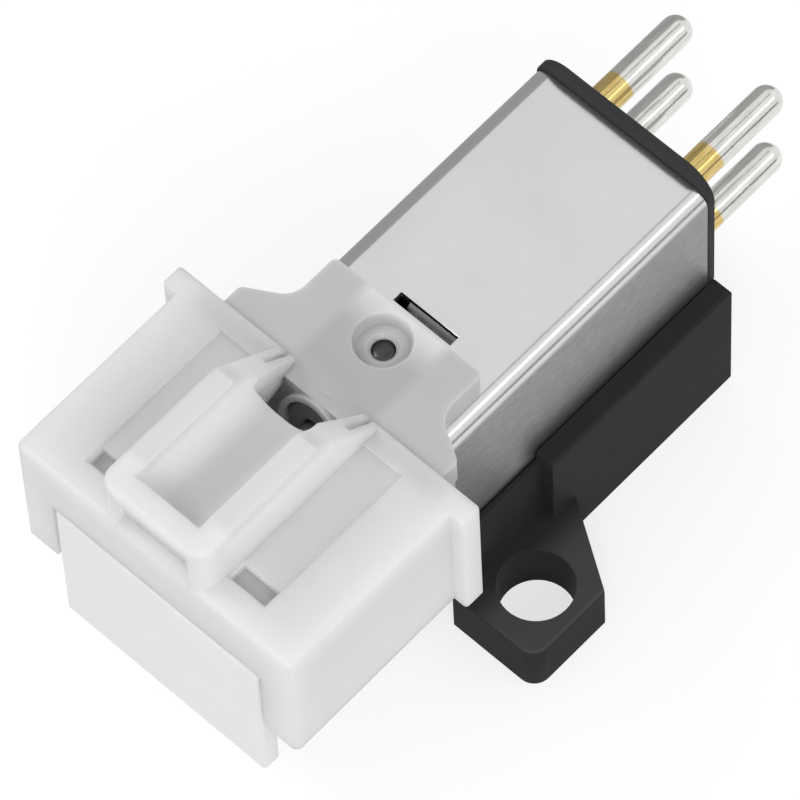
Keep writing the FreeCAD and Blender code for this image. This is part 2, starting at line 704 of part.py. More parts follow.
def make_parts():
    """Every piece by node name."""
    parts = {
        "mounting_base": make_mounting_base(),
        "shield_can": make_shield_can(),
        "terminal_plate": make_terminal_plate(),
        "rear_yoke": make_rear_yoke(),
        "stylus_holder": make_stylus_holder(),
        "damper_ring": make_damper_ring(),
        "cantilever": make_cantilever(),
        "stylus_tip": make_stylus_tip(),
        "magnet_carrier": make_magnet_carrier(),
        "stylus_guard": make_stylus_guard(),
    }
    for name, x, z in pin_places():
        parts["terminal_pin_" + name] = make_terminal_pin(x, z)
        parts["coil_lead_" + name] = make_coil_lead(x, z)
    for name, maker in (
        ("pole_core", make_pole_core),
        ("coil_bobbin", make_coil_bobbin),
        ("coil_winding", make_coil_winding),
    ):
        parts[name + "_right"] = maker()
        parts[name + "_left"] = mirrored(maker())
    for side, sign in (("left", -1), ("right", 1)):
        parts["magnet_" + side] = make_magnet(sign)
    return parts


def main():
    """Write one file for each piece."""
    os.makedirs("parts", exist_ok=True)
    for name, shape in make_parts().items():
        shape.exportStep(os.path.join("parts", name + ".step"))


main()
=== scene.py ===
"""Looks of a moving-magnet phono cartridge: finishes, edges, pins, coil turns, light, camera."""
import logging
import math
from dataclasses import dataclass
from enum import Enum
from typing import Any

import bmesh
import bpy
from mathutils import Matrix, Vector


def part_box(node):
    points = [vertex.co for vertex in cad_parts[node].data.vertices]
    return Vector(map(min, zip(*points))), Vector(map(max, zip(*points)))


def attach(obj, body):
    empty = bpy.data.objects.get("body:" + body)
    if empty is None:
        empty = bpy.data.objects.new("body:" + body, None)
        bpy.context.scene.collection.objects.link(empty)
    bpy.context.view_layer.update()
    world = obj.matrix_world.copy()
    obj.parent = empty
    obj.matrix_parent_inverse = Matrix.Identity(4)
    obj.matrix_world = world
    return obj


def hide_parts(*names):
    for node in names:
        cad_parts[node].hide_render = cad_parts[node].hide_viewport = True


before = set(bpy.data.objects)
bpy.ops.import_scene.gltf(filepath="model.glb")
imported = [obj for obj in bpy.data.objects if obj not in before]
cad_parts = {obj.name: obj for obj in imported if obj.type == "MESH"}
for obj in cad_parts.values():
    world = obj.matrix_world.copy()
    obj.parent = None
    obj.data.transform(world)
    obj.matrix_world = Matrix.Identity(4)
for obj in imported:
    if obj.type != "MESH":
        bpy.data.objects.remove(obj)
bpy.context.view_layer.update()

MM = 0.001
JOIN_MM = 0.002
FLAT_DEG = 0.5
MOTTLE_OCTAVES = 3.0
GRAIN_OCTAVES = 4.0
LOG = logging.getLogger("cartridge")


class Body(Enum):
    """Bodies that the joints move."""

    CARTRIDGE = "cartridge_body"
    HOLDER = "stylus_unit"
    DAMPER = "damper"
    NEEDLE = "needle"
    GUARD = "guard_cover"


class Slot(Enum):
    """Material slots of the record."""

    BASE = "base_plastic"
    SHIELD = "shield_metal"
    PIN = "pin_metal"
    WINDING = "winding_wire"
    HOLDER = "holder_plastic"
    GUARD = "guard_plastic"
    DAMPER = "damper_rubber"


def linear(code: str) -> tuple[float, float, float, float]:
    """Turn an sRGB hex colour into linear light.

    Args:
        code: colour such as "#C0C0C0".

    Returns:
        Red, green, blue and an alpha of one.
    """
    shares = [int(code[i:i + 2], 16) / 255 for i in (1, 3, 5)]
    bent = [s / 12.92 if s <= 0.04045 else ((s + 0.055) / 1.055) ** 2.4 for s in shares]
    return (bent[0], bent[1], bent[2], 1.0)


def cells_of(size_mm: float) -> float:
    """Pattern scale at which one cell is size_mm wide on coordinates in metres."""
    return 1 / (size_mm * MM)


def add(
    tree: bpy.types.NodeTree, kind: str, inputs: dict | None = None, **settings: Any
) -> bpy.types.Node:
    """Add one node with its settings, values and links.

    Args:
        tree: node tree that takes the node.
        kind: node type.
        inputs: value or output socket for each input, by name or place.
        **settings: properties of the node.

    Returns:
        The new node.
    """
    node = tree.nodes.new(kind)
    for name, value in settings.items():
        setattr(node, name, value)
    for key, value in (inputs or {}).items():
        if isinstance(value, bpy.types.NodeSocket):
            tree.links.new(value, node.inputs[key])
        else:
            node.inputs[key].default_value = value
    return node


@dataclass(frozen=True)
class Tint:
    """Pair of shades that takes over along one axis between two places."""

    axis: int
    start_mm: float
    end_mm: float
    shade: str
    light: str


@dataclass(frozen=True)
class Finish:
    """Surface of one real material.

    Mottle and grain are noise patterns on Object coordinates. Mottle shifts the colour between two
    shades, and grain gives the bump and a small change of gloss. Tints change the shades from place
    to place.
    """

    name: str
    shade: str
    light: str
    roughness: float
    roughness_swing: float = 0.05
    metallic: float = 0.0
    ior: float = 1.5
    specular: float = 0.5
    transmission: float = 0.0
    mottle_mm: float = 2.0
    stretch: float = 1.0
    grain_mm: float = 0.15
    grain_depth_mm: float = 0.004
    coat: float = 0.0
    subsurface: float = 0.0
    subsurface_mm: float = 0.5
    tints: tuple[Tint, ...] = ()

    def colour(self, tree: bpy.types.NodeTree, place: bpy.types.NodeSocket) -> bpy.types.NodeSocket:
        """Mottled colour with its tints.

        Args:
            tree: the material's nodes.
            place: Object coordinates.

        Returns:
            Colour socket.
        """
        values = {0: place, 1: (1.0, 1 / self.stretch, 1.0)}
        drawn = add(tree, "ShaderNodeVectorMath", values, operation="MULTIPLY").outputs["Vector"]
        values = {"Vector": drawn, "Scale": cells_of(self.mottle_mm), "Detail": MOTTLE_OCTAVES}
        mottle = add(tree, "ShaderNodeTexNoise", values).outputs["Fac"]
        values = {"Factor": mottle, "A": linear(self.shade), "B": linear(self.light)}
        result = add(tree, "ShaderNodeMix", values, data_type="RGBA").outputs[2]
        split = add(tree, "ShaderNodeSeparateXYZ", {"Vector": place})
        for tint in self.tints:
            values = {
                "Value": split.outputs[tint.axis],
                "From Min": tint.start_mm * MM,
                "From Max": tint.end_mm * MM,
            }
            ramp = add(tree, "ShaderNodeMapRange", values, interpolation_type="SMOOTHSTEP")
            values = {"Factor": mottle, "A": linear(tint.shade), "B": linear(tint.light)}
            other = add(tree, "ShaderNodeMix", values, data_type="RGBA").outputs[2]
            values = {"Factor": ramp.outputs["Result"], "A": result, "B": other}
            result = add(tree, "ShaderNodeMix", values, data_type="RGBA").outputs[2]
        return result

    def gloss(self, tree: bpy.types.NodeTree, grain: bpy.types.NodeSocket) -> bpy.types.NodeSocket:
        """Roughness that follows the grain.

        Args:
            tree: the material's nodes.
            grain: grain pattern.

        Returns:
            Value socket.
        """
        values = {
            "Value": grain,
            "To Min": self.roughness - self.roughness_swing,
            "To Max": self.roughness + self.roughness_swing,
        }
        return add(tree, "ShaderNodeMapRange", values).outputs["Result"]

    def build(self) -> bpy.types.Material:
        """Make the material.

        Returns:
            Material with a procedural shader.
        """
        material = bpy.data.materials.new(self.name)
        material.use_nodes = True
        tree = material.node_tree
        tree.nodes.clear()
        place = add(tree, "ShaderNodeTexCoord").outputs["Object"]
        values = {"Vector": place, "Scale": cells_of(self.grain_mm), "Detail": GRAIN_OCTAVES}
        grain = add(tree, "ShaderNodeTexNoise", values).outputs["Fac"]
        values = {"Height": grain, "Distance": self.grain_depth_mm * MM, "Strength": 1.0}
        bump = add(tree, "ShaderNodeBump", values)
        shader = add(
            tree,
            "ShaderNodeBsdfPrincipled",
            {
                "Base Color": self.colour(tree, place),
                "Roughness": self.gloss(tree, grain),
                "Normal": bump.outputs["Normal"],
                "Metallic": self.metallic,
                "IOR": self.ior,
                "Specular IOR Level": self.specular,
                "Transmission Weight": self.transmission,
                "Coat Weight": self.coat,
                "Subsurface Weight": self.subsurface,
                "Subsurface Radius": (1.0, 1.0, 1.0),
                "Subsurface Scale": self.subsurface_mm * MM,
            },
        )
        add(tree, "ShaderNodeOutputMaterial", {"Surface": shader.outputs["BSDF"]})
        return material


@dataclass(frozen=True)
class FoldedSheetFinish(Finish):
    """Plated sheet with a satin top, duller flanks and a grey inside that shows at the slot; the flanks'
    darker colour is a painted reflection of the dark surroundings, and the grey inside is painted shade.
    """

    # painted reflection: the darker flank shades stand in for the dark surroundings that the flanks
    # reflect
    flank_painted_reflection_shade: str = "#808080"
    flank_painted_reflection_light: str = "#A6A6A6"
    flank_roughness: float = 0.45
    flank_start: float = 0.9
    speck_mm: float = 0.16
    speck_stretch: float = 3.0
    # painted shade: grey below the top near the slot, where the inside lies in shade
    slot_painted_shade: str = "#B4B4B4"
    skin_mm: float = 0.0
    skin_depth_mm: float = 0.06
    slot_reach_mm: float = 2.0

    def flank_share(self, tree: bpy.types.NodeTree) -> bpy.types.NodeSocket:
        """One on the upright sides and zero on the top, with a soft change in the fold."""
        facing = add(tree, "ShaderNodeNewGeometry").outputs["Normal"]
        split = add(tree, "ShaderNodeSeparateXYZ", {"Vector": facing})
        side = add(tree, "ShaderNodeMath", {0: split.outputs["X"]}, operation="ABSOLUTE").outputs["Value"]
        values = {"Value": side, "From Min": self.flank_start, "From Max": 1.0}
        return add(tree, "ShaderNodeMapRange", values, interpolation_type="SMOOTHSTEP").outputs["Result"]

    def slot_painted_shade_share(self, tree: bpy.types.NodeTree, place: bpy.types.NodeSocket) -> bpy.types.NodeSocket:
        """One below the skin near the middle plane, where shade is painted, and zero elsewhere."""
        split = add(tree, "ShaderNodeSeparateXYZ", {"Vector": place})
        skin = (self.skin_mm - self.skin_depth_mm) * MM
        deep = add(tree, "ShaderNodeMath", {0: split.outputs["Z"], 1: skin}, operation="LESS_THAN")
        off_middle = add(tree, "ShaderNodeMath", {0: split.outputs["X"]}, operation="ABSOLUTE")
        values = {0: off_middle.outputs["Value"], 1: self.slot_reach_mm * MM}
        near = add(tree, "ShaderNodeMath", values, operation="LESS_THAN")
        values = {0: deep.outputs["Value"], 1: near.outputs["Value"]}
        return add(tree, "ShaderNodeMath", values, operation="MULTIPLY").outputs["Value"]

    def colour(self, tree: bpy.types.NodeTree, place: bpy.types.NodeSocket) -> bpy.types.NodeSocket:
        """Colour by the way that the sheet faces, with a painted darker reflection on the flanks and
        painted shade below the skin at the slot.

        Args:
            tree: the material's nodes.
            place: Object coordinates.

        Returns:
            Colour socket.
        """
        values = {0: place, 1: (1.0, 1 / self.speck_stretch, 1.0)}
        drawn = add(tree, "ShaderNodeVectorMath", values, operation="MULTIPLY").outputs["Vector"]
        values = {"Vector": drawn, "Scale": cells_of(self.speck_mm), "Detail": GRAIN_OCTAVES}
        specks = add(tree, "ShaderNodeTexNoise", values).outputs["Fac"]
        values = {"Factor": specks, "A": linear(self.flank_painted_reflection_shade), "B": linear(self.flank_painted_reflection_light)}
        flank = add(tree, "ShaderNodeMix", values, data_type="RGBA").outputs[2]
        values = {"Factor": self.flank_share(tree), "A": super().colour(tree, place), "B": flank}
        skin = add(tree, "ShaderNodeMix", values, data_type="RGBA").outputs[2]
        values = {"Factor": self.slot_painted_shade_share(tree, place), "A": skin, "B": linear(self.slot_painted_shade)}
        return add(tree, "ShaderNodeMix", values, data_type="RGBA").outputs[2]

    def gloss(self, tree: bpy.types.NodeTree, grain: bpy.types.NodeSocket) -> bpy.types.NodeSocket:
        """Roughness that is higher on the flanks.

        Args:
            tree: the material's nodes.
            grain: grain pattern.

        Returns:
            Value socket.
        """
        values = {
            "Factor": self.flank_share(tree),
            "A": super().gloss(tree, grain),
            "B": self.flank_roughness,
        }
        return add(tree, "ShaderNodeMix", values, data_type="FLOAT").outputs[0]


# Moulded black ABS with a fine spark-eroded texture: dull charcoal, with painted light on the ears' tops,
# which are paler than the rails and the ear sides
BLACK_ABS = Finish(
    "moulded_black_abs", "#2E2E2F", "#363637", 0.55, specular=0.02, grain_mm=0.12,
    # painted light: the ears' tops are paler where the light falls on them, and the sides below keep the
    # base shade
    tints=(
        Tint(0, 5.0, 6.4, "#4A4A4B", "#525253"),
        Tint(0, -5.0, -6.4, "#4A4A4B", "#525253"),
        Tint(2, 2.42, 2.33, "#2E2E2F", "#363637"),
    ),
)

# Punched paper-phenolic board: flat charcoal, a little rougher than the moulding
BLACK_BOARD = Finish("punched_black_phenolic", "#363637", "#404041", 0.6, specular=0.05, grain_mm=0.2)

# Nickel-plated soft iron sheet, satin from rolling: an even light grey that streaks at the folds, with a
# painted darker reflection on the flanks and painted shade inside at the slot
SATIN_SHEET = FoldedSheetFinish(
    "satin_nickel_plated_sheet", "#CECECE", "#DADADA", 0.2, metallic=1.0, mottle_mm=3.0, grain_mm=0.1,
    grain_depth_mm=0.0006, skin_mm=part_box("shield_can")[1].z / MM,
)

# Turned brass pins, nickel plated to the tip and gold flashed at the root, with fine lengthwise streaks
PLATED_BRASS = Finish(
    "nickel_and_gold_plated_brass", "#BDBDBB", "#F4F4F0", 0.16, metallic=1.0, mottle_mm=0.16, stretch=6.0,
    grain_mm=0.12, grain_depth_mm=0.003, tints=(Tint(1, 14.05, 13.9, "#B8923F", "#F2DFA0"),),
)

# Moulded acetal holder: milky, greyest on the deck, lighter behind it and at the grip, and painted lighter
# in the dish against the shade of the hollow
MILKY_ACETAL = Finish(
    "moulded_milky_acetal", "#B5B5B5", "#BDBDBD", 0.38, ior=1.48, mottle_mm=4.0, grain_mm=0.2,
    subsurface=0.7,
    tints=(
        Tint(1, -1.2, 0.6, "#DEDEDE", "#E4E4E4"),
        # painted light: lighter below the deck top, in the dish, offsetting the shade of the hollow
        Tint(2, 13.88, 13.45, "#BFBFBF", "#C5C5C5"),
        Tint(0, 1.6, 2.2, "#C2C2C2", "#C8C8C8"),
        Tint(0, -1.6, -2.2, "#C4C4C4", "#CACACA"),
        Tint(1, -2.5, -6.0, "#EDEDED", "#F3F3F3"),
    ),
)

# Moulded frosted polypropylene guard: cloudy, with soft bright edges, greyer on the box's side walls as
# painted shade that tones down their lit tops beside the shaded panels
FROSTED_PP = Finish(
    "moulded_frosted_polypropylene", "#F6F6F6", "#FAFAFA", 0.42, ior=1.49, transmission=0.1, mottle_mm=3.0,
    grain_mm=0.18, grain_depth_mm=0.003, subsurface=1.0, subsurface_mm=1.4,
    tints=(
        # painted shade: greyer near the top of the box's walls, back to the plain shades at the front
        Tint(2, 16.1, 16.8, "#E1E1E1", "#E5E5E5"),
        Tint(1, -10.6, -11.3, "#F6F6F6", "#FAFAFA"),
    ),
)

# Butyl rubber bearing: grey and dull
BUTYL = Finish("moulded_butyl_rubber", "#7C7C7C", "#868686", 0.7, specular=0.25, grain_mm=0.08)

# Drawn aluminium tube and turned plug: bright grey, satin
DRAWN_ALUMINIUM = Finish("drawn_aluminium", "#CFD0D2", "#DCDDDF", 0.3, metallic=1.0, grain_mm=0.06)

# Ground diamond: clear and hard edged
DIAMOND = Finish(
    "ground_diamond", "#D8DCDC", "#EEF2F2", 0.06, ior=2.4, transmission=0.8, grain_depth_mm=0.0005,
)

# Blackened steel set pin: dark grey with one bright glint
BLACKENED_STEEL = Finish("blackened_steel", "#444444", "#525252", 0.28, metallic=1.0, grain_mm=0.08)

# Sintered magnet: dark grey, slightly sparkling
SINTERED_MAGNET = Finish("sintered_magnet", "#4B4C4F", "#66676A", 0.4, metallic=1.0, grain_mm=0.05)

# Annealed nickel-iron core stock: warm grey, satin
CORE_STOCK = Finish("annealed_nickel_iron", "#8E8B87", "#A6A39E", 0.38, metallic=1.0, grain_mm=0.1)

# Moulded nylon bobbin: ivory
BOBBIN_NYLON = Finish("moulded_nylon", "#D9D2BE", "#E6E0CE", 0.45, grain_mm=0.15)

# Enamelled copper wire: reddish, glossy
COPPER_ENAMEL = Finish(
    "enamelled_copper_wire", "#9A4E22", "#C4713A", 0.24, metallic=1.0, mottle_mm=0.5, coat=0.4,
)

NODE_FINISHES: dict[str, Finish] = {
    "rear_yoke": CORE_STOCK,
    "pole_core": CORE_STOCK,
    "coil_bobbin": BOBBIN_NYLON,
    "coil_lead": COPPER_ENAMEL,
    "cantilever": DRAWN_ALUMINIUM,
    "stylus_tip": DIAMOND,
    "magnet_carrier": DRAWN_ALUMINIUM,
    "magnet_left": SINTERED_MAGNET,
    "magnet_right": SINTERED_MAGNET,
}


class Palette:
    """Materials, each made once."""

    def __init__(self) -> None:
        """Start with no material made."""
        self.made: dict[str, bpy.types.Material] = {}

    def get(self, finish: Finish) -> bpy.types.Material:
        """Material of a finish, made on its first use."""
        if finish.name not in self.made:
            self.made[finish.name] = finish.build()
        return self.made[finish.name]


def link_piece(name: str, mesh: bpy.types.Mesh) -> bpy.types.Object:
    """Put a mesh in the scene as an object at the origin."""
    piece = bpy.data.objects.new(name, mesh)
    bpy.context.scene.collection.objects.link(piece)
    return piece


def settle(piece: bpy.types.Object) -> None:
    """Turn a piece's modifiers into plain mesh.

    Args:
        piece: object with live modifiers.
    """
    graph = bpy.context.evaluated_depsgraph_get()
    mesh = bpy.data.meshes.new_from_object(piece.evaluated_get(graph))
    mesh.name = piece.name
    piece.modifiers.clear()
    piece.data = mesh


def dress(piece: bpy.types.Object, material: bpy.types.Material) -> None:
    """Give a piece one material."""
    piece.data.materials.clear()
    piece.data.materials.append(material)


@dataclass
class SoftenedPart:
    """Moulded or folded piece with its edges broken, made over a node's own form."""

    node: str
    body: Body
    slot: Slot
    finish: Finish
    edge_mm: float
    segments: int = 3
    sharp_deg: float = 28.0

    def merged(self) -> bpy.types.Mesh:
        """Copy of the node's mesh with its triangles joined and its flat faces made whole."""
        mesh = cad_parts[self.node].data.copy()
        mesh.name = self.node + "_soft"
        shape = bmesh.new()
        shape.from_mesh(mesh)
        bmesh.ops.remove_doubles(shape, verts=shape.verts, dist=JOIN_MM * MM)
        bmesh.ops.dissolve_limit(
            shape,
            angle_limit=math.radians(FLAT_DEG),
            verts=shape.verts,
            edges=shape.edges,
            use_dissolve_boundaries=False,
        )
        shape.to_mesh(mesh)
        shape.free()
        if "custom_normal" in mesh.attributes:
            mesh.attributes.remove(mesh.attributes["custom_normal"])
        return mesh

    def build(self, palette: Palette) -> bpy.types.Object:
        """Make the piece, put it in the node's place and dress it.

        Args:
            palette: materials.

        Returns:
            The finished piece.
        """
        piece = link_piece(self.node + "_dressed", self.merged())
        bevel = piece.modifiers.new("edges", "BEVEL")
        bevel.width = self.edge_mm * MM
        bevel.segments = self.segments
        bevel.limit_method = "ANGLE"
        bevel.angle_limit = math.radians(self.sharp_deg)
        bevel.use_clamp_overlap = True
        piece.data.shade_smooth()
        weigh = piece.modifiers.new("normals", "WEIGHTED_NORMAL")
        weigh.keep_sharp = True
        settle(piece)
        dress(piece, palette.get(self.finish))
        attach(piece, self.body.value)
        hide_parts(self.node)
        return piece


class CopyRows:
    """Geometry Nodes tree that lays a mesh out in rows and columns."""

    INPUTS = (
        ("Columns", "NodeSocketInt"),
        ("Rows", "NodeSocketInt"),
        ("First", "NodeSocketVector"),
        ("Column Step", "NodeSocketVector"),
        ("Row Step", "NodeSocketVector"),
        ("Material", "NodeSocketMaterial"),
    )

    def __init__(self) -> None:
        """Build the tree."""
        self.tree = bpy.data.node_groups.new("copies_in_rows", "GeometryNodeTree")
        self.tree.is_modifier = True
        sockets = self.tree.interface
        sockets.new_socket("Geometry", in_out="INPUT", socket_type="NodeSocketGeometry")
        for name, kind in self.INPUTS:
            sockets.new_socket(name, in_out="INPUT", socket_type=kind)
        sockets.new_socket("Geometry", in_out="OUTPUT", socket_type="NodeSocketGeometry")
        given = add(self.tree, "NodeGroupInput").outputs
        columns = add(
            self.tree,
            "GeometryNodeMeshLine",
            {"Count": given["Columns"], "Start Location": given["First"], "Offset": given["Column Step"]},
        )
        row = add(
            self.tree,
            "GeometryNodeInstanceOnPoints",
            {"Points": columns.outputs["Mesh"], "Instance": given["Geometry"]},
        )
        values = {"Count": given["Rows"], "Offset": given["Row Step"]}
        rows = add(self.tree, "GeometryNodeMeshLine", values)
        field_of = add(
            self.tree,
            "GeometryNodeInstanceOnPoints",
            {"Points": rows.outputs["Mesh"], "Instance": row.outputs["Instances"]},
        )
        real = add(self.tree, "GeometryNodeRealizeInstances", {"Geometry": field_of.outputs["Instances"]})
        dressed = add(
            self.tree,
            "GeometryNodeSetMaterial",
            {"Geometry": real.outputs["Geometry"], "Material": given["Material"]},
        )
        add(self.tree, "NodeGroupOutput", {"Geometry": dressed.outputs["Geometry"]})

    def lay(self, piece: bpy.types.Object, values: dict[str, Any]) -> None:
        """Lay a piece out and make the result plain mesh.

        Args:
            piece: object that holds one copy about the origin.
            values: value of each named input.
        """
        modifier = piece.modifiers.new("copies", "NODES")
        modifier.node_group = self.tree
        for item in self.tree.interface.items_tree:
            if item.in_out == "INPUT" and item.name in values:
                modifier[item.identifier] = values[item.name]
        settle(piece)


def lathe(profile: list[tuple[float, float]], steps: int, name: str) -> bpy.types.Mesh:
    """Turn a profile about the Y axis.

    Args:
        profile: radius and place along Y of each point, from end to end, with both ends on the axis.
        steps: facets around.
        name: name of the mesh.

    Returns:
        Closed mesh with normals out.
    """
    shape = bmesh.new()
    verts = [shape.verts.new((radius, along, 0)) for radius, along in profile]
    edges = [shape.edges.new(pair) for pair in zip(verts, verts[1:])]
    bmesh.ops.spin(
        shape,
        geom=verts + edges,
        cent=(0, 0, 0),
        axis=(0, 1, 0),
        angle=math.tau,
        steps=steps,
        use_merge=True,
    )
    bmesh.ops.remove_doubles(shape, verts=shape.verts, dist=JOIN_MM * MM)
    bmesh.ops.recalc_face_normals(shape, faces=shape.faces)
    mesh = bpy.data.meshes.new(name)
    shape.to_mesh(mesh)
    shape.free()
    return mesh


@dataclass
class TerminalPins:
    """Four turned pins in the terminal plate, each with a solder tail, a neck and a domed end."""

    tail_mm: float = 0.35
    neck_mm: float = 0.45
    chamfer_mm: float = 0.05
    facets: int = 48
    sharp_deg: float = 35.0
    dome_steps: int = 10
    nodes: tuple[str, ...] = tuple(
        f"terminal_pin_{side}_{role}" for side in ("left", "right") for role in ("return", "signal")
    )

    def profile(self) -> list[tuple[float, float]]:
        """Radius and place along Y of the pin's outline."""
        low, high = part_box(self.nodes[0])
        radius = (high.x - low.x) / 2
        plate_front, plate_rear = (corner.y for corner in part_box("terminal_plate"))
        tail = self.tail_mm * MM
        neck = self.neck_mm * MM
        cut = self.chamfer_mm * MM
        points = [(0, low.y), (tail - cut, low.y), (tail, low.y + cut), (tail, plate_front)]
        points += [(neck, plate_front), (neck, plate_rear)]
        points += [(radius - cut, plate_rear), (radius, plate_rear + cut)]
        dome = high.y - radius
        for i in range(self.dome_steps + 1):
            turn = math.pi / 2 * i / self.dome_steps
            points.append((radius * math.cos(turn), dome + radius * math.sin(turn)))
        points[-1] = (0, high.y)
        return points

    def build(self, palette: Palette, copies: CopyRows) -> bpy.types.Object:
        """Turn one pin and set four of them in the plate.

        Args:
            palette: materials.
            copies: tree that lays copies out.

        Returns:
            The finished piece.
        """
        piece = link_piece("terminal_pins", lathe(self.profile(), self.facets, "terminal_pins"))
        piece.data.shade_smooth()
        piece.data.set_sharp_from_angle(angle=math.radians(self.sharp_deg))
        centres = {node: sum(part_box(node), Vector()) / 2 for node in self.nodes}
        first = centres["terminal_pin_left_return"]
        across = centres["terminal_pin_right_return"] - first
        up = centres["terminal_pin_left_signal"] - first
        copies.lay(
            piece,
            {
                "Columns": 2,
                "Rows": 2,
                "First": (first.x, 0.0, first.z),
                "Column Step": tuple(across),
                "Row Step": tuple(up),
                "Material": palette.get(PLATED_BRASS),
            },
        )
        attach(piece, Body.CARTRIDGE.value)
        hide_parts(*self.nodes)
        return piece


@dataclass
class SetPin:
    """Domed pin pressed into the dish of the stylus holder, whose head shows in the hole."""

    centre_y_mm: float = -0.72
    radius_mm: float = 0.45
    foot_mm: float = 12.75
    shoulder_mm: float = 13.08
    rise_mm: float = 0.14
    facets: int = 32
    sharp_deg: float = 50.0
    dome_steps: int = 6

    def build(self, palette: Palette) -> bpy.types.Object:
        """Turn the pin, stand it upright and set it in the holder.

        Args:
            palette: materials.

        Returns:
            The finished piece.
        """
        points = [(0, self.foot_mm), (self.radius_mm, self.foot_mm)]
        for i in range(self.dome_steps):
            turn = math.pi / 2 * i / self.dome_steps
            height = self.shoulder_mm + self.rise_mm * math.sin(turn)
            points.append((self.radius_mm * math.cos(turn), height))
        points.append((0, self.shoulder_mm + self.rise_mm))
        mesh = lathe([(radius * MM, along * MM) for radius, along in points], self.facets, "set_pin")
        place = Matrix.Translation((0, self.centre_y_mm * MM, 0))
        mesh.transform(place @ Matrix.Rotation(math.pi / 2, 4, "X"))
        piece = link_piece("set_pin", mesh)
        mesh.shade_smooth()
        mesh.set_sharp_from_angle(angle=math.radians(self.sharp_deg))
        dress(piece, palette.get(BLACKENED_STEEL))
        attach(piece, Body.HOLDER.value)
        return piece


@dataclass
class CoilTurns:
    """Outer turns of enamelled wire on both bobbins."""

    wire_mm: float = 0.16
    corner_mm: float = 1.0
    corner_steps: int = 5
    wire_sides: int = 8

    def outline(self, half_x: float, half_z: float) -> list[Vector]:
        """Rounded rectangle that the middle of the wire follows.

        Args:
            half_x: half width of the turn.
            half_z: half height of the turn.

        Returns:
            Points about the origin, in order.
        """
        corner = self.corner_mm * MM
        points = []
        for quarter in range(4):
            mid_x = (half_x - corner) * (1 if quarter in (0, 3) else -1)
            mid_z = (half_z - corner) * (1 if quarter in (0, 1) else -1)
            for step in range(self.corner_steps + 1):
                turn = math.pi / 2 * (quarter + step / self.corner_steps)
                offset = Vector((math.cos(turn), 0, math.sin(turn))) * corner
                points.append(Vector((mid_x, 0, mid_z)) + offset)
        return points

    def one_turn(self, half_x: float, half_z: float) -> bpy.types.Mesh:
        """Closed ring of wire about the origin.

        Args:
            half_x: half width of the turn.
            half_z: half height of the turn.

        Returns:
            Ring mesh.
        """
        shape = bmesh.new()
        rings = []
        for point in self.outline(half_x, half_z):
            outward = Vector((point.x / half_x, 0, point.z / half_z)).normalized()
            ring = []
            for i in range(self.wire_sides):
                turn = math.tau * i / self.wire_sides
                offset = outward * math.cos(turn) + Vector((0, 1, 0)) * math.sin(turn)
                ring.append(shape.verts.new(point + offset * self.wire_mm * MM / 2))
            rings.append(ring)
        for here, after in zip(rings, rings[1:] + rings[:1]):
            for i in range(self.wire_sides):
                j = (i + 1) % self.wire_sides
                shape.faces.new((here[i], here[j], after[j], after[i]))
        bmesh.ops.recalc_face_normals(shape, faces=shape.faces)
        for face in shape.faces:
            face.smooth = True
        mesh = bpy.data.meshes.new("coil_turns")
        shape.to_mesh(mesh)
        shape.free()
        return mesh

    def build(self, palette: Palette, copies: CopyRows) -> bpy.types.Object:
        """Wind both coils over their plain forms.

        Args:
            palette: materials.
            copies: tree that lays copies out.

        Returns:
            The finished piece.
        """
        low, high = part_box("coil_winding_left")
        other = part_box("coil_winding_right")[0]
        wire = self.wire_mm * MM
        half = (high - low) / 2
        turns = int((high.y - low.y) / wire)
        middle = (low + high) / 2
        piece = link_piece("coil_turns", self.one_turn(half.x - wire / 2, half.z - wire / 2))
        copies.lay(
            piece,
            {
                "Columns": turns,
                "Rows": 2,
                "First": (middle.x, low.y + (high.y - low.y - (turns - 1) * wire) / 2, middle.z),
                "Column Step": (0.0, wire, 0.0),
                "Row Step": (other.x - low.x, 0.0, 0.0),
                "Material": palette.get(COPPER_ENAMEL),
            },
        )
        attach(piece, Body.CARTRIDGE.value)
        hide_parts("coil_winding_left", "coil_winding_right")
        return piece


@dataclass(frozen=True)
class Card:
    """Grey card that only reflections show."""

    name: str
    place: tuple[float, float, float]
    looks_at: tuple[float, float, float]
    size: tuple[float, float]
    tone: float


@dataclass(frozen=True)
class Lamp:
    """Soft lamp that looks at one point."""

    name: str
    place: tuple[float, float, float]
    looks_at: tuple[float, float, float]
    size: tuple[float, float]
    power: float


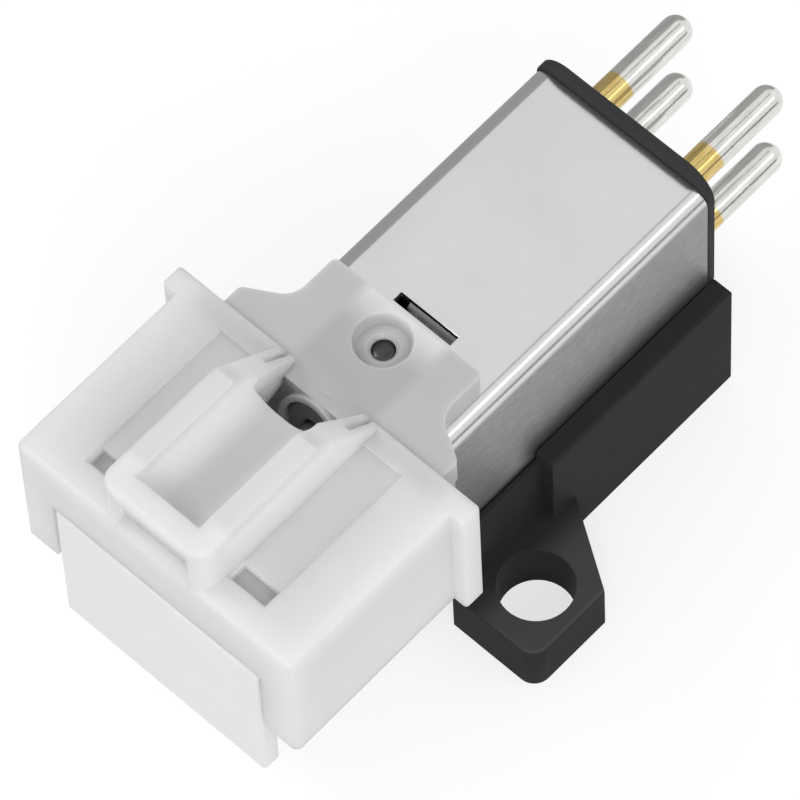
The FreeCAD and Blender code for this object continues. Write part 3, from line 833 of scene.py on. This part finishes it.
@dataclass
class Studio:
    """Plain pale floor, white surround, soft lights, cards for the metal and the camera."""

    eye: tuple[float, float, float] = (0.104094, -0.100603, 0.276146)
    azimuth_deg: float = 45.997
    elevation_deg: float = 61.59
    roll_deg: float = -3.514
    focal_px: float = 8584.883
    image_px: float = 800.0
    sensor_mm: float = 36.0
    clip_near: float = 0.01
    clip_far: float = 20.0
    floor_size: float = 4.0
    surround: float = 0.58
    floor_glow_seen: float = 0.70
    floor_glow_cast: float = 0.28
    floor_tone: str = "#A8A8A8"
    lamps: tuple[Lamp, ...] = (
        Lamp("key", (0.22, -0.19, 0.21), (0.0, 0.0, 0.008), (0.14, 0.14), 0.37),
        Lamp("fill", (-0.20, -0.12, 0.26), (0.0, 0.0, 0.008), (0.10, 0.10), 0.24),
        Lamp("rim", (0.24, 0.13, 0.29), (0.0, 0.0, 0.008), (0.05, 0.30), 0.10),
    )
    cards: tuple[Card, ...] = (
        Card("left_card", (-0.012, 0.03, 0.014), (0.0, 0.03, 0.014), (0.028, 0.12), 0.43),
        Card("over_card", (0.02, 0.13, 0.37), (0.0, 0.0, 0.008), (0.035, 0.30), 0.25),
        Card("right_card", (0.30, 0.10, 0.04), (0.0, 0.10, 0.01), (0.07, 0.30), 0.3),
    )

    def seen_share(self, tree: bpy.types.NodeTree) -> bpy.types.NodeSocket:
        """One for camera, glossy and transmission rays, and zero for the rest.

        Args:
            tree: node tree of the floor or the world.

        Returns:
            Value socket.
        """
        path = add(tree, "ShaderNodeLightPath").outputs
        values = {0: path["Is Camera Ray"], 1: path["Is Glossy Ray"]}
        both = add(tree, "ShaderNodeMath", values, operation="MAXIMUM").outputs["Value"]
        values = {0: both, 1: path["Is Transmission Ray"]}
        return add(tree, "ShaderNodeMath", values, operation="MAXIMUM").outputs["Value"]

    def light_world(self) -> None:
        """White to the eye, and a plain level of light on the object."""
        world = bpy.data.worlds.new("studio")
        world.use_nodes = True
        bpy.context.scene.world = world
        tree = world.node_tree
        tree.nodes.clear()
        level = add(
            tree,
            "ShaderNodeMapRange",
            {"Value": self.seen_share(tree), "To Min": self.surround, "To Max": 1.0},
        )
        white = linear("#FFFFFF")
        glow = add(tree, "ShaderNodeBackground", {"Color": white, "Strength": level.outputs["Result"]})
        add(tree, "ShaderNodeOutputWorld", {"Surface": glow.outputs["Background"]})

    def lay_floor(self) -> None:
        """Pale sheet under the object that is white to the eye and keeps the shadow."""
        mesh = bpy.data.meshes.new("floor")
        half = self.floor_size / 2
        corners = [(-half, -half, 0), (half, -half, 0), (half, half, 0), (-half, half, 0)]
        mesh.from_pydata(corners, [], [(0, 1, 2, 3)])
        floor = link_piece("floor", mesh)
        material = bpy.data.materials.new("pale_paper")
        material.use_nodes = True
        tree = material.node_tree
        tree.nodes.clear()
        paper = add(tree, "ShaderNodeBsdfDiffuse", {"Color": linear(self.floor_tone)})
        values = {
            "Value": self.seen_share(tree),
            "To Min": self.floor_glow_cast,
            "To Max": self.floor_glow_seen,
        }
        level = add(tree, "ShaderNodeMapRange", values)
        glow = add(tree, "ShaderNodeEmission", {"Strength": level.outputs["Result"]})
        both = add(tree, "ShaderNodeAddShader", {0: paper.outputs["BSDF"], 1: glow.outputs["Emission"]})
        add(tree, "ShaderNodeOutputMaterial", {"Surface": both.outputs["Shader"]})
        dress(floor, material)

    def hang_lamps(self) -> None:
        """Hang the soft lamps."""
        for lamp in self.lamps:
            data = bpy.data.lights.new(lamp.name, "AREA")
            data.shape = "RECTANGLE"
            data.size, data.size_y = lamp.size
            data.energy = lamp.power
            hung = bpy.data.objects.new(lamp.name, data)
            hung.matrix_world = self.turned(lamp.place, lamp.looks_at)
            bpy.context.scene.collection.objects.link(hung)

    def turned(self, place: tuple[float, float, float], point: tuple[float, float, float]) -> Matrix:
        """Place whose -Z axis looks at a point and whose Y axis lies near the frame's Y."""
        back = (Vector(place) - Vector(point)).normalized()
        side = Vector((0, 1, 0)).cross(back).normalized()
        axes = Matrix((side, back.cross(side), back)).transposed()
        return Matrix.Translation(place) @ axes.to_4x4()

    def stand_cards(self) -> None:
        """Grey cards that give the metal its dark lines."""
        for card in self.cards:
            across, along = (side / 2 for side in card.size)
            turn = self.turned(card.place, card.looks_at)
            corners = [(-across, -along), (across, -along), (across, along), (-across, along)]
            mesh = bpy.data.meshes.new(card.name)
            mesh.from_pydata([turn @ Vector((x, y, 0)) for x, y in corners], [], [(0, 1, 2, 3)])
            board = link_piece(card.name, mesh)
            board.visible_camera = False
            board.visible_diffuse = False
            board.visible_transmission = False
            board.visible_shadow = False
            material = bpy.data.materials.new("grey_" + card.name)
            material.use_nodes = True
            tree = material.node_tree
            tree.nodes.clear()
            tone = add(tree, "ShaderNodeEmission", {"Strength": card.tone})
            add(tree, "ShaderNodeOutputMaterial", {"Surface": tone.outputs["Emission"]})
            dress(board, material)

    def set_camera(self) -> None:
        """Camera at the photograph's angle."""
        turn = math.radians(self.azimuth_deg)
        rise = math.radians(self.elevation_deg)
        roll = math.radians(self.roll_deg)
        back = Vector((math.sin(turn) * math.cos(rise), -math.cos(turn) * math.cos(rise), math.sin(rise)))
        right = (-back).cross(Vector((0, 0, 1))).normalized()
        up = right.cross(-back)
        tilted_right = right * math.cos(roll) + up * math.sin(roll)
        tilted_up = up * math.cos(roll) - right * math.sin(roll)
        axes = Matrix((tilted_right, tilted_up, back)).transposed()
        data = bpy.data.cameras.new("camera")
        data.sensor_width = self.sensor_mm
        data.lens = self.sensor_mm * self.focal_px / self.image_px
        data.clip_start = self.clip_near
        data.clip_end = self.clip_far
        camera = bpy.data.objects.new("camera", data)
        camera.matrix_world = Matrix.Translation(self.eye) @ axes.to_4x4()
        bpy.context.scene.collection.objects.link(camera)
        bpy.context.scene.camera = camera

    def build(self) -> None:
        """Set up world, floor, lamps, cards, camera and view."""
        self.light_world()
        self.lay_floor()
        self.hang_lamps()
        self.stand_cards()
        self.set_camera()
        bpy.context.scene.view_settings.view_transform = "Standard"


def dress_nodes(palette: Palette) -> None:
    """Give each node that stays its finish.

    Args:
        palette: materials.
    """
    for name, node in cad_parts.items():
        if node.hide_render:
            continue
        finish = next((f for start, f in NODE_FINISHES.items() if name.startswith(start)), None)
        if finish is None:
            LOG.warning("no finish for %s", name)
            continue
        dress(node, palette.get(finish))
        LOG.info("node %s: %s", name, finish.name)


def main() -> None:
    """Build every piece in order."""
    logging.basicConfig(level=logging.INFO)
    palette = Palette()
    copies = CopyRows()
    parts = [
        SoftenedPart("mounting_base", Body.CARTRIDGE, Slot.BASE, BLACK_ABS, 0.07),
        SoftenedPart("shield_can", Body.CARTRIDGE, Slot.SHIELD, SATIN_SHEET, 0.04),
        SoftenedPart("terminal_plate", Body.CARTRIDGE, Slot.BASE, BLACK_BOARD, 0.05),
        SoftenedPart("stylus_holder", Body.HOLDER, Slot.HOLDER, MILKY_ACETAL, 0.06),
        SoftenedPart("stylus_guard", Body.GUARD, Slot.GUARD, FROSTED_PP, 0.07),
        # The ring is rounded further at its ends, which leaves room for the tilted needle
        SoftenedPart("damper_ring", Body.DAMPER, Slot.DAMPER, BUTYL, 0.2),
    ]
    pieces = [part.build(palette) for part in parts]
    pieces += [group.build(palette, copies) for group in (TerminalPins(), CoilTurns())]
    pieces.append(SetPin().build(palette))
    for piece in pieces:
        LOG.info("%s: %d faces", piece.name, len(piece.data.polygons))
    dress_nodes(palette)
    Studio().build()


if __name__ == "__main__":
    main()
